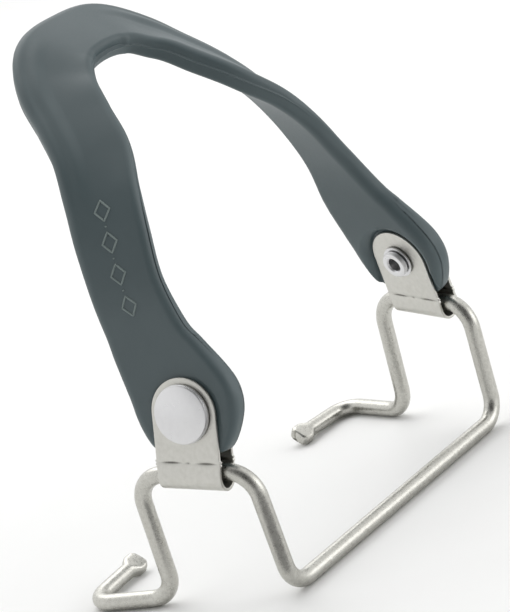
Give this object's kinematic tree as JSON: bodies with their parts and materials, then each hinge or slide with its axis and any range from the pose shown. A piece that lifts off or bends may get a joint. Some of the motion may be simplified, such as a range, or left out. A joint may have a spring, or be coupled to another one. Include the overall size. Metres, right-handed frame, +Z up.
{
  "type": "crampon toe bail",
  "caption": "Bent steel wire bail with a moulded toe strap riveted to two folded sheet clips that hang on the wire.",
  "frame": {"origin": "under the middle of the assembly, on the surface that the wire stands on", "axes": "+X to the wearer's right, +Y from the toe towards the heel, +Z up"},
  "size_m": [0.1108, 0.0621, 0.13],
  "materials": {
    "wire_steel": "tumbled stainless spring wire, satin",
    "clip_steel": "stamped stainless sheet, satin",
    "rivet_steel": "turned bright steel",
    "strap_elastomer": "injection-moulded elastomer, slate grey, fine satin"
  },
  "bodies": {
    "bail": {"bail_wire": "wire_steel"},
    "strap": {"toe_strap": "strap_elastomer"},
    "left_clip": {"left_clip": "clip_steel", "left_rivet": "rivet_steel", "left_rivet_burr": "rivet_steel"},
    "right_clip": {"right_clip": "clip_steel", "right_rivet": "rivet_steel", "right_rivet_burr": "rivet_steel"}
  },
  "joints": [
    {"name": "strap_tilt", "type": "hinge", "parent": "bail", "child": "strap", "pos_m": [0, -0.01667, 0.04644], "axis": [1, 0, 0], "range_deg": [-7, 7]},
    {"name": "left_rivet_pivot", "type": "hinge", "parent": "strap", "child": "left_clip", "pos_m": [-0.04502, -0.01667, 0.04644], "axis": [0.9658, 0.1691, -0.1965], "range_deg": [-7, 7]},
    {"name": "right_rivet_pivot", "type": "hinge", "parent": "strap", "child": "right_clip", "pos_m": [0.04502, -0.01667, 0.04644], "axis": [0.9658, -0.1691, 0.1965], "range_deg": [-7, 7]}
  ],
  "couplings": [
    {"joint": "left_rivet_pivot", "follows": "strap_tilt", "ratio": -0.966},
    {"joint": "right_rivet_pivot", "follows": "strap_tilt", "ratio": -0.966}
  ]
}
